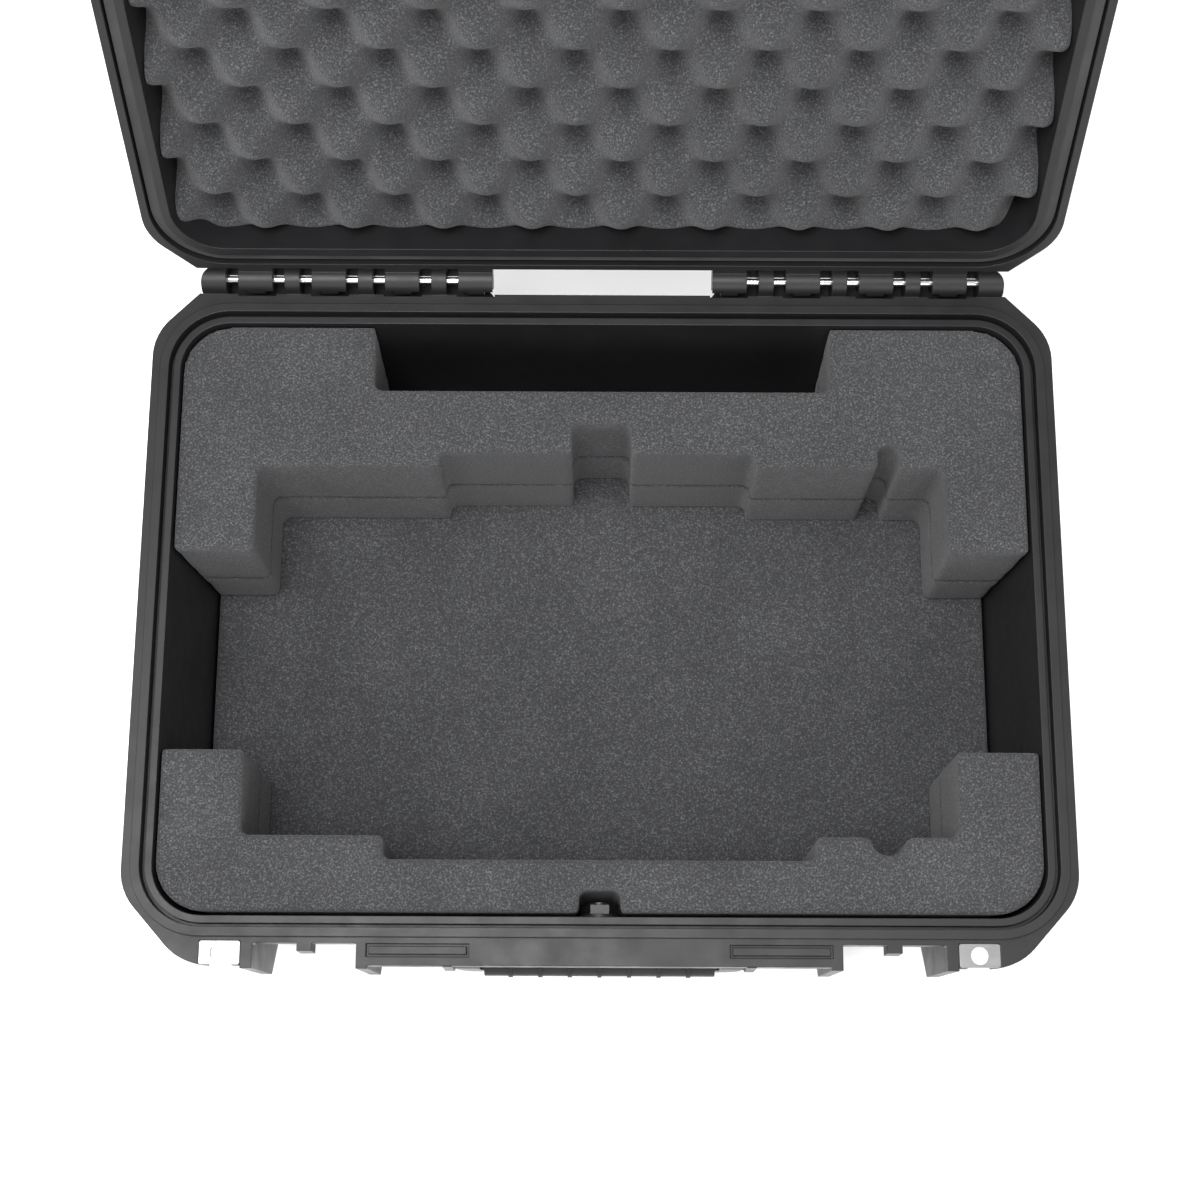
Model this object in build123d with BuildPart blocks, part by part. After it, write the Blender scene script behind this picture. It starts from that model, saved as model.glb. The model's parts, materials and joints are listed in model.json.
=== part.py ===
from build123d import *
import math
import os

# Waterproof hard case, shown with its lid open.
# Millimetres. +X is to the right, +Y towards the hinge, +Z up.
# The origin is the middle of the face that the case stands on, below the middle of its opening.

# Tub and its opening
OPEN_W = 470.0
OPEN_D = 330.0
OPEN_R = 27.0
WALL = 4.0
DRAFT = 4.0
BASE_DEPTH = 127.0
LID_DEPTH = 51.0
FLOOR_T = 4.5
FOOT_H = 6.5
FOOT_W = 64.0
FOOT_D = 40.0
FOOT_INSET = 26.0
FOOT_MID_R = 36.0
FLOOR_R = 8.0

# Stiffening ribs above the lid's flange and the lid's long stacking ribs
RIB_T = 2.6
RIB_RISE = 24.0
RIB_STEP_IN = 2.0
RIB_EDGE = 8.0
SIDE_RIBS = 5
SIDE_RIB_PITCH = 52.0
BACK_RIBS = 3
BACK_RIB_PITCH = 34.0
TOP_RIBS = 3
TOP_RIB_PITCH = 62.0
TOP_RIB_W = 14.0
TOP_RIB_H = 2.5
TOP_RIB_INSET = 60.0

# Rim flange, measured out from the opening's edge
GROOVE_IN = 4.0
GROOVE_OUT = 6.0
GROOVE_DEPTH = 5.0
TONGUE_OUT = 11.0
TONGUE_H = 3.0
FLANGE_OUT = 16.0
FLANGE_T = 9.0
RIM_GAP = 0.3

# Flange outline
BACK_EDGE_OUT = 17.8
LID_BACK_OUT = 15.0
FRONT_EDGE_OUT = 25.5
RECESS_EDGE_OUT = 14.0
BACK_CHAMFER = 24.5
FRONT_CHAMFER_X = 34.0
FRONT_CHAMFER_Y = 38.0
CORNER_R = 30.0

# Seal
SEAL_SLOT_IN = 5.0
SEAL_SLOT_OUT = 11.6
SEAL_SLOT_DEPTH = 7.0
SEAL_SIDE_GAP = 0.8
SEAL_CLEAR = 0.3

# Hinge
PIN_BACK = 25.4
PIN_RISE = 2.0
PIN_R = 2.4
PIN_FIT = 0.05
PIN_END_GAP = 1.0
HINGE_PIN_INSET = 3.0
BARREL_R = 8.0
HUB_R = 4.9
KNUCKLE_SWING_GAP = 1.0
HINGE_IN = 40.8
HINGE_PITCH = 41.0
LID_KNUCKLE_W = 19.2
BASE_KNUCKLE_W = 8.4
END_KNUCKLE_W = 14.0
END_KNUCKLE_GAP = 6.8
KNUCKLES = 4
KNUCKLE_LEG = 26.0
LID_ARM_RISE = 24.0
WEB_W = 9.6
END_KNUCKLE_R = 13.0
HINGE_SKIN_T = 2.6
HINGE_SKIN_RISE = 6.0
HINGE_SLANT = 7.3
LID_OPEN = 112.0

# Latches
LATCH_IN = 81.6
RECESS_W = 54.0
EAR_T = 6.0
EAR_PROUD = 1.7
EAR_LEAN = 2.4
EAR_FRONT_DROP = 72.0
EAR_BACK_DROP = 101.0
LATCH_SIDE_GAP = 0.8
LATCH_PIN_RISE = 20.0
LATCH_PIN_OUT = 21.0
LATCH_PIN_R = 2.5
LATCH_T = 7.5
LATCH_HUB_R = 7.0
LATCH_DROP = 30.0
CHEEK_T = 6.5
LATCH_OPEN = 85.0
LID_EAR_RISE = 31.0
LID_EAR_SLOPE = 8.0
LID_EAR_R = 6.0
LATCH_FACE_OUT = 4.0
LATCH_TOP_R = 8.0
LATCH_PANEL_H = 10.0
LATCH_PANEL_EDGE = 6.0
LATCH_PANEL_DEPTH = 1.2
LATCH_BACK_GAP = 2.0
TRIGGER_GAP = 0.5
TRIGGER_PIN_DROP = 1.0
TRIGGER_PIN_R = 2.0
TRIGGER_T = 6.0
TRIGGER_FACE_OUT = 3.0
TRIGGER_SLOT_D = 20.0
TRIGGER_SLOT_H = 60.0
TRIGGER_SLOT_DROP = 10.0
GRIP_BEADS = 3
GRIP_BEAD_PITCH = 5.0
GRIP_BEAD_R = 0.9
TRIGGER_TOP = 1.0
TRIGGER_HUB_R = 5.0
BRIDGE_GAP = 6.0
TRIGGER_DROP = 52.0
HOOK_GRIP = 4.0
HOOK_T = 4.5
TAB_W = 7.8
TAB_OUT = 4.2
TAB_ROOT = 1.0
TAB_DROP = 16.0
TAB_GAP = 1.2

# Padlock stations
LOCK_IN = 37.7
LOCK_OUT = 19.2
LOCK_PLATE_W = 21.2
LOCK_PLATE_D = 12.2
LOCK_PLATE_R = 1.2
LOCK_PLATE_T = 2.0
LOCK_SEAT_GAP = 0.15
LOCK_HOLE_R = 4.75
LOCK_RELIEF_R = 6.2

# Raised pads on the front shelf
PAD_GAP = 5.1
PAD_W = 53.5
PAD_D = 6.8
PAD_OUT = 17.6
PAD_GROOVE_W = 1.4
PAD_GROOVE_DEPTH = 2.5

# Handle
HANDLE_HALF_W = 76.0
HANDLE_ARM_W = 12.0
HANDLE_PIN_OUT = 18.0
HANDLE_PIN_DROP = 20.0
HANDLE_PIN_R = 3.0
HANDLE_BOSS_R = 7.5
HANDLE_REACH = 30.0
HANDLE_T = 12.0
HANDLE_CORNER_R = 14.0
BAR_H = 11.0
GRIP_HALF_W = 62.0
GRIP_H = 18.0
GRIP_T = 17.0
GRIP_R = 6.0
GRIP_SLEEVE_GAP = 0.15
GRIP_RIB_PITCH = 16.0
GRIP_RIBS = 7
GRIP_RIB_W = 2.2
GRIP_RIB_H = 0.7
BRACKET_T = 5.0
BRACKET_GAP = 0.6
BRACKET_DROP = 31.0
BRACKET_REACH = 26.0
BRACKET_INNER_REACH = 22.0
BRACKET_TOE = 12.0
BRACKET_R = 4.0

# Pressure valve
VALVE_DROP = 25.0
VALVE_CAP_R = 11.5
VALVE_CAP_T = 7.0
VALVE_STEM_R = 7.0
VALVE_NUT_R = 10.0
VALVE_NUT_T = 5.0
VALVE_SEAL_T = 1.6
VALVE_VENT_R = 4.0
VALVE_VENT_T = 2.0
VALVE_FIT = 0.15
VALVE_CHAMFER = 1.5
VALVE_SEAT_PROUD = 0.5
VALVE_SEAT_INSET = 3.2
VALVE_SEAT_RIM = 1.0
VALVE_BOSS_T = 3.0
VALVE_STEM_PROUD = 1.5

# Foam
FOAM_GAP = 0.8
FOAM_FRONT_GAP = 2.0
FOAM_TOP = 3.0
FOAM_SEAM = 63.5
FOAM_FLOOR = 105.0
FOAM_LIFT = 0.3
DEVICE_HALF_W = 190.0
DEVICE_FRONT = -122.0
DEVICE_BACK = 82.5
POCKET_FRONT = -76.3
POCKET_BACK = 33.9
CORD_HALF_W = 127.0
CORD_FRONT = 127.0
REAR_SLOT_L = -89.7
REAR_SLOT_R = 85.7
REAR_SLOT_BACK = 90.5
REAR_NOTCH_HALF_W = 16.5
REAR_NOTCH_BACK = 107.8
SIDE_NOTCH_L = 153.0
SIDE_NOTCH_R = 164.8
SIDE_NOTCH_BACK = 96.1
FRONT_SLOT_HALF_W = 114.5
FRONT_SLOT_FRONT = -134.6
THUMB_X = 152.6
THUMB_R = 10.0
VALVE_NOTCH_HALF_W = 11.0
VALVE_NOTCH_GAP = 4.8
CRATE_SHEET_T = 20.0
CRATE_PEAK_H = 27.0
CRATE_PITCH = 49.0
CRATE_TOP_SHARE = 0.3
CRATE_FLOOR_SHARE = 0.2
CRATE_X = 10.0
CRATE_Y = 150.0

# Levels and places worked out from the sizes above
HINGE_OUT_X = OPEN_W / 2 - HINGE_IN
LATCH_X = OPEN_W / 2 - LATCH_IN
LOCK_X = OPEN_W / 2 - LOCK_IN
PAD_X = LATCH_X - RECESS_W / 2 - PAD_GAP - PAD_W / 2
RIM_Z = FOOT_H + FLOOR_T + BASE_DEPTH
LID_Z = RIM_Z + RIM_GAP
LID_TOP_Z = LID_Z + LID_DEPTH + FLOOR_T
PIN_Y = OPEN_D / 2 + PIN_BACK
PIN_Z = RIM_Z + PIN_RISE
SIDE_X = OPEN_W / 2 + FLANGE_OUT
FRONT_Y = -OPEN_D / 2 - FRONT_EDGE_OUT
RECESS_Y = -OPEN_D / 2 - RECESS_EDGE_OUT
LATCH_PIN_Y = -OPEN_D / 2 - LATCH_PIN_OUT
LATCH_PIN_Z = LID_Z + LATCH_PIN_RISE
TRIGGER_PIN_Z = RIM_Z - TRIGGER_PIN_DROP
HANDLE_PIN_Y = -OPEN_D / 2 - HANDLE_PIN_OUT
HANDLE_PIN_Z = RIM_Z - HANDLE_PIN_DROP
LOCK_Y = -OPEN_D / 2 - LOCK_OUT
VALVE_Z = RIM_Z - VALVE_DROP
VALVE_SEAT_OUT = -OPEN_D / 2 - WALL - VALVE_SEAT_PROUD
VALVE_SEAT_IN = -OPEN_D / 2 + VALVE_SEAT_INSET
VALVE_STEM_END = VALVE_SEAT_IN + VALVE_NUT_T + VALVE_STEM_PROUD
VALVE_NOTCH_BACK = VALVE_STEM_END + VALVE_NOTCH_GAP
HINGE_END_X = HINGE_OUT_X + LID_KNUCKLE_W / 2 + END_KNUCKLE_GAP + END_KNUCKLE_W
HINGE_IN_X = HINGE_OUT_X - (KNUCKLES - 1) * HINGE_PITCH - LID_KNUCKLE_W / 2
HINGE_PIN_OUT = HINGE_END_X - HINGE_PIN_INSET
HINGE_PIN_IN = HINGE_IN_X + HINGE_PIN_INSET
LATCH_PIN_L = RECESS_W + 2 * EAR_T - PIN_END_GAP
TRIGGER_PIN_L = RECESS_W - 2 * LATCH_SIDE_GAP - PIN_END_GAP
HANDLE_PIN_MID = HANDLE_HALF_W - HANDLE_ARM_W / 2
HANDLE_PIN_L = HANDLE_ARM_W + 2 * (BRACKET_GAP + BRACKET_T) - PIN_END_GAP


def draft_in(height):
    """How far a wall leans in over a height."""
    return height * math.tan(math.radians(DRAFT))


def turned(plane, pin_y, pin_z, angle):
    """A plane turned about the line along X through a point of its own frame."""
    pin = plane.from_local_coords((0, pin_y, pin_z))
    a = math.radians(angle)
    y_dir = plane.y_dir * math.cos(a) + plane.z_dir * math.sin(a)
    z_dir = plane.z_dir * math.cos(a) - plane.y_dir * math.sin(a)
    origin = pin - y_dir * pin_y - z_dir * pin_z
    return Plane(origin=origin, x_dir=plane.x_dir, z_dir=z_dir)


def side_plane(plane, x):
    """The plane across X at x, whose own axes are the frame's Y and Z."""
    return Plane(origin=plane.origin + plane.x_dir * x, x_dir=plane.y_dir, z_dir=plane.x_dir)


def front_plane(plane, y):
    """The plane across Y at y that looks to the front, whose own axes are the frame's X and Z."""
    return Plane(origin=plane.origin + plane.y_dir * y, x_dir=plane.x_dir, z_dir=-plane.y_dir)


# The base's frame, the open lid's frame and the swung-out latches' frame.
# Each holds its pieces at the places that they have in the closed case.
BASE = Plane.XY
LID = turned(BASE, PIN_Y, PIN_Z, -LID_OPEN)
LATCH = turned(LID, LATCH_PIN_Y, LATCH_PIN_Z, -LATCH_OPEN)
SIDES = (("left", -1), ("right", 1))


def ring_sketch(plane, inner, outer):
    """A band round the opening, between two distances from its edge."""
    with BuildSketch(plane) as band:
        RectangleRounded(OPEN_W + 2 * outer, OPEN_D + 2 * outer, OPEN_R + outer)
        RectangleRounded(OPEN_W + 2 * inner, OPEN_D + 2 * inner, OPEN_R + inner, mode=Mode.SUBTRACT)
    return band.sketch


def flange_sketch(plane, back_y):
    """The rim flange's outline, with cut corners, the front shelf, latch recesses and lock lugs."""
    recess_in = LATCH_X - RECESS_W / 2
    recess_out = LATCH_X + RECESS_W / 2
    right = [
        (SIDE_X - BACK_CHAMFER, back_y),
        (SIDE_X, back_y - BACK_CHAMFER),
        (SIDE_X, FRONT_Y + FRONT_CHAMFER_Y),
        (SIDE_X - FRONT_CHAMFER_X, FRONT_Y),
        (recess_out, FRONT_Y),
        (recess_out, RECESS_Y),
        (recess_in, RECESS_Y),
        (recess_in, FRONT_Y),
    ]
    radii = [0, CORNER_R, CORNER_R, CORNER_R, 2, 1, 1, 2]
    left = [(-x, y) for x, y in reversed(right)]
    with BuildSketch(plane) as outline:
        with BuildLine():
            FilletPolyline(*right, *left, radius=radii + radii[::-1], close=True)
        make_face()
    return outline.sketch


def knuckle_sketch(plane, leg):
    """A base knuckle seen from the side: barrel and the leg that joins it to the back wall."""
    wall_y = OPEN_D / 2
    with BuildSketch(plane) as knuckle:
        with Locations((PIN_Y, PIN_Z)):
            Circle(BARREL_R)
        with BuildLine():
            Polyline(
                (wall_y, RIM_Z),
                (PIN_Y - BARREL_R, RIM_Z),
                (PIN_Y, PIN_Z),
                (PIN_Y + BARREL_R * 0.8, PIN_Z - BARREL_R * 0.6),
                (wall_y, RIM_Z - leg),
                close=True,
            )
        make_face()
    return knuckle.sketch


def hinge_skin_sketch(plane):
    """The skin behind a hinge group, seen from the side: it runs along the legs, clear of the barrels."""
    rise = KNUCKLE_LEG - BARREL_R * 0.6 + PIN_RISE
    run = PIN_Y + BARREL_R * 0.8 - OPEN_D / 2
    slope = math.atan2(rise, run)
    corners = []
    for off in (BARREL_R + KNUCKLE_SWING_GAP, BARREL_R + KNUCKLE_SWING_GAP + HINGE_SKIN_T):
        y = PIN_Y + off * math.sin(slope)
        z = PIN_Z - off * math.cos(slope)
        tip = (y + HINGE_SKIN_RISE * math.cos(slope), z + HINGE_SKIN_RISE * math.sin(slope))
        root = (OPEN_D / 2, z - (y - OPEN_D / 2) * math.tan(slope))
        corners.append((tip, root))
    with BuildSketch(plane) as skin:
        with BuildLine():
            Polyline(corners[0][0], corners[0][1], corners[1][1], corners[1][0], close=True)
        make_face()
    return skin.sketch


def hinge_end_cuts_sketch(sign):
    """What comes off a hinge group's ends, seen from above: a round corner and a slanted one."""
    far_y = PIN_Y + 2 * BARREL_R
    round_x = HINGE_END_X - END_KNUCKLE_R
    round_y = PIN_Y + BARREL_R - END_KNUCKLE_R
    edge_y = OPEN_D / 2 + BACK_EDGE_OUT
    slant_x = HINGE_IN_X - HINGE_SLANT / 2
    slant_y = edge_y + HINGE_SLANT
    with BuildSketch(BASE.offset(PIN_Z + KNUCKLE_LEG)) as cuts:
        with Locations((sign * (round_x + END_KNUCKLE_R), (round_y + far_y) / 2)):
            Rectangle(2 * END_KNUCKLE_R, far_y - round_y)
        with Locations((sign * round_x, round_y)):
            Circle(END_KNUCKLE_R, mode=Mode.SUBTRACT)
        with BuildLine():
            Polyline(
                (sign * (slant_x - 1), edge_y),
                (sign * slant_x, edge_y),
                (sign * (slant_x + HINGE_SLANT), slant_y),
                (sign * (slant_x + HINGE_SLANT), far_y),
                (sign * (slant_x - 1), far_y),
                close=True,
            )
        make_face()
    return cuts.sketch


def rib_sketch(plane, wall, edge):
    """A stiffening rib in the corner of the lid's flange and its drafted wall, seen along the wall."""
    level = LID_Z + FLANGE_T / 2
    root = wall + math.copysign(WALL / 2, wall)
    with BuildSketch(plane) as rib:
        with BuildLine():
            Polyline(
                (root, level),
                (edge, level),
                (edge, level + RIB_EDGE),
                (root - math.copysign(draft_in(RIB_RISE), wall), level + RIB_RISE),
                close=True,
            )
        make_face()
    return rib.sketch


def lid_arm_sketch(plane, radius):
    """A lid knuckle seen from the side: barrel and the arm that joins it to the lid's back wall."""
    wall_y = OPEN_D / 2
    with BuildSketch(plane) as arm:
        with Locations((PIN_Y, PIN_Z)):
            Circle(radius)
        with BuildLine():
            Polyline(
                (wall_y, LID_Z),
                (PIN_Y - radius, LID_Z),
                (PIN_Y, PIN_Z),
                (PIN_Y + radius * 0.7, PIN_Z + radius * 0.7),
                (wall_y, LID_Z + LID_ARM_RISE),
                close=True,
            )
        make_face()
    return arm.sketch


def lid_knuckle_places(sign):
    """The middles of one hinge group's lid knuckles, outermost first."""
    return [sign * (HINGE_OUT_X - i * HINGE_PITCH) for i in range(KNUCKLES)]


def base_knuckle_places(sign):
    """Middle and width of one hinge group's base knuckles, with the longer one at its outer end."""
    inner = [(sign * (HINGE_OUT_X - (i + 0.5) * HINGE_PITCH), BASE_KNUCKLE_W) for i in range(KNUCKLES - 1)]
    end = HINGE_OUT_X + LID_KNUCKLE_W / 2 + END_KNUCKLE_GAP + END_KNUCKLE_W / 2
    return [(sign * end, END_KNUCKLE_W)] + inner


def build_base_shell():
    """The tub: drafted walls, rim flange with its sealing tongue, knuckles, ribs, lugs and feet."""
    down = Plane(origin=(0, 0, RIM_Z), x_dir=(1, 0, 0), z_dir=(0, 0, -1))
    with BuildPart() as base_shell:
        with BuildSketch(down):
            RectangleRounded(OPEN_W + 2 * WALL, OPEN_D + 2 * WALL, OPEN_R + WALL)
        extrude(amount=RIM_Z - FOOT_H, taper=DRAFT)
        fillet(base_shell.faces().sort_by(Axis.Z)[0].edges(), radius=FLOOR_R)
        with BuildSketch(Plane.XY):
            with GridLocations(OPEN_W - 2 * FOOT_INSET - FOOT_W, OPEN_D - 2 * FOOT_INSET - FOOT_D, 2, 2):
                RectangleRounded(FOOT_W, FOOT_D, FOOT_D / 4)
            Circle(FOOT_MID_R)
        extrude(amount=FOOT_H + 1)
        extrude(flange_sketch(BASE.offset(RIM_Z - FLANGE_T), OPEN_D / 2 + BACK_EDGE_OUT), amount=FLANGE_T)
        extrude(ring_sketch(BASE.offset(RIM_Z - 1), GROOVE_OUT, TONGUE_OUT), amount=TONGUE_H + 1)
        for _, sign in SIDES:
            for x, width in base_knuckle_places(sign):
                extrude(knuckle_sketch(side_plane(BASE, x), KNUCKLE_LEG), amount=width / 2, both=True)
            skin_out = HINGE_END_X - END_KNUCKLE_R
            skin_in = HINGE_IN_X - HINGE_SLANT / 2
            skin = hinge_skin_sketch(side_plane(BASE, sign * (skin_out + skin_in) / 2))
            extrude(skin, amount=(skin_out - skin_in) / 2, both=True)
            extrude(hinge_end_cuts_sketch(sign), amount=-2 * KNUCKLE_LEG, mode=Mode.SUBTRACT)
            for x in (LATCH_X - (RECESS_W + EAR_T) / 2, LATCH_X + (RECESS_W + EAR_T) / 2):
                with BuildSketch(side_plane(BASE, sign * x)):
                    with BuildLine():
                        Polyline(
                            (-OPEN_D / 2, RIM_Z),
                            (FRONT_Y - EAR_PROUD, RIM_Z),
                            (FRONT_Y - EAR_PROUD + EAR_LEAN, RIM_Z - EAR_FRONT_DROP),
                            (-OPEN_D / 2 + draft_in(EAR_BACK_DROP) - WALL / 2, RIM_Z - EAR_BACK_DROP),
                            close=True,
                        )
                    make_face()
                extrude(amount=EAR_T / 2, both=True)
            inner_x = HANDLE_HALF_W - HANDLE_ARM_W - BRACKET_GAP - BRACKET_T / 2
            outer_x = HANDLE_HALF_W + BRACKET_GAP + BRACKET_T / 2
            for x, reach in ((inner_x, BRACKET_INNER_REACH), (outer_x, BRACKET_REACH)):
                with BuildSketch(side_plane(BASE, sign * x)):
                    with BuildLine():
                        FilletPolyline(
                            (-OPEN_D / 2, RIM_Z - 1),
                            (-OPEN_D / 2 - reach, RIM_Z - 1),
                            (-OPEN_D / 2 - reach, RIM_Z - BRACKET_DROP),
                            (HANDLE_PIN_Y, RIM_Z - BRACKET_DROP),
                            (-OPEN_D / 2, RIM_Z - BRACKET_DROP - BRACKET_TOE),
                            radius=[0, 0, BRACKET_R, BRACKET_R, 0],
                            close=True,
                        )
                    make_face()
                extrude(amount=BRACKET_T / 2, both=True)
            with BuildSketch(side_plane(BASE, sign * LATCH_X)):
                with Locations((RECESS_Y + (TAB_ROOT - TAB_OUT) / 2, RIM_Z - TAB_DROP / 2)):
                    Rectangle(TAB_OUT + TAB_ROOT, TAB_DROP)
            extrude(amount=TAB_W / 2, both=True)
        # The valve's flat seats on both faces of the drafted wall
        with BuildSketch(front_plane(BASE, VALVE_SEAT_IN)):
            with Locations((0, VALVE_Z)):
                Circle(VALVE_NUT_R + VALVE_SEAT_PROUD)
        extrude(amount=VALVE_SEAT_IN - VALVE_SEAT_OUT)
        with BuildSketch(front_plane(BASE, VALVE_SEAT_OUT + VALVE_BOSS_T)):
            with Locations((0, VALVE_Z)):
                Circle(VALVE_CAP_R + VALVE_SEAT_RIM)
        extrude(amount=VALVE_BOSS_T)
        with BuildSketch(down):
            RectangleRounded(OPEN_W, OPEN_D, OPEN_R)
        extrude(amount=BASE_DEPTH, taper=DRAFT, mode=Mode.SUBTRACT)
        with BuildSketch(front_plane(BASE, VALVE_SEAT_IN)):
            with Locations((0, VALVE_Z)):
                Circle(VALVE_NUT_R + VALVE_SEAT_PROUD)
        extrude(amount=VALVE_BOSS_T)
        groove = ring_sketch(BASE.offset(RIM_Z), GROOVE_IN, GROOVE_OUT)
        extrude(groove, amount=-GROOVE_DEPTH, mode=Mode.SUBTRACT)
        # Room for the turning lid barrels, the hinge pins' bores and the handle pins' bores
        for _, sign in SIDES:
            for x in lid_knuckle_places(sign):
                with BuildSketch(side_plane(BASE, x)):
                    with Locations((PIN_Y, PIN_Z)):
                        Circle(BARREL_R + KNUCKLE_SWING_GAP)
                extrude(amount=LID_KNUCKLE_W / 2 + KNUCKLE_SWING_GAP, both=True, mode=Mode.SUBTRACT)
            pin_mid = sign * (HINGE_PIN_OUT + HINGE_PIN_IN) / 2
            with BuildSketch(side_plane(BASE, pin_mid)):
                with Locations((PIN_Y, PIN_Z)):
                    Circle(PIN_R + PIN_FIT)
            extrude(amount=(HINGE_PIN_OUT - HINGE_PIN_IN) / 2, both=True, mode=Mode.SUBTRACT)
            with BuildSketch(side_plane(BASE, sign * HANDLE_PIN_MID)):
                with Locations((HANDLE_PIN_Y, HANDLE_PIN_Z)):
                    Circle(HANDLE_PIN_R + PIN_FIT)
            extrude(amount=HANDLE_PIN_L / 2, both=True, mode=Mode.SUBTRACT)
            seat, slot = lock_seat_sketches(BASE.offset(RIM_Z), sign)
            extrude(seat, amount=-LOCK_PLATE_T, mode=Mode.SUBTRACT)
            extrude(slot, amount=-FLANGE_T, mode=Mode.SUBTRACT)
            extrude(pad_groove_sketch(sign), amount=-PAD_GROOVE_DEPTH, mode=Mode.SUBTRACT)
        with BuildSketch(front_plane(BASE, VALVE_SEAT_IN)):
            with Locations((0, VALVE_Z)):
                Circle(VALVE_STEM_R + VALVE_FIT)
        extrude(amount=VALVE_SEAT_IN - VALVE_SEAT_OUT, mode=Mode.SUBTRACT)
    return base_shell.part


def lock_seat_sketches(plane, sign):
    """A padlock plate's seat and the slot below it, both open to the front."""
    seat_back = LOCK_Y + LOCK_PLATE_D / 2 + LOCK_SEAT_GAP
    slot_back = LOCK_Y + LOCK_RELIEF_R
    front = FRONT_Y - 1
    with BuildSketch(plane) as seat:
        with Locations((sign * LOCK_X, (seat_back + front) / 2)):
            Rectangle(LOCK_PLATE_W + 2 * LOCK_SEAT_GAP, seat_back - front)
    with BuildSketch(plane) as slot:
        with Locations((sign * LOCK_X, (slot_back + front) / 2)):
            Rectangle(2 * LOCK_RELIEF_R, slot_back - front)
    return seat.sketch, slot.sketch


def pad_groove_sketch(sign):
    """The groove that leaves a raised pad on the front shelf."""
    with BuildSketch(BASE.offset(RIM_Z)) as groove:
        with Locations((sign * PAD_X, -OPEN_D / 2 - PAD_OUT)):
            Rectangle(PAD_W, PAD_D)
            Rectangle(PAD_W - 2 * PAD_GROOVE_W, PAD_D - 2 * PAD_GROOVE_W, mode=Mode.SUBTRACT)
    return groove.sketch


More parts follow.
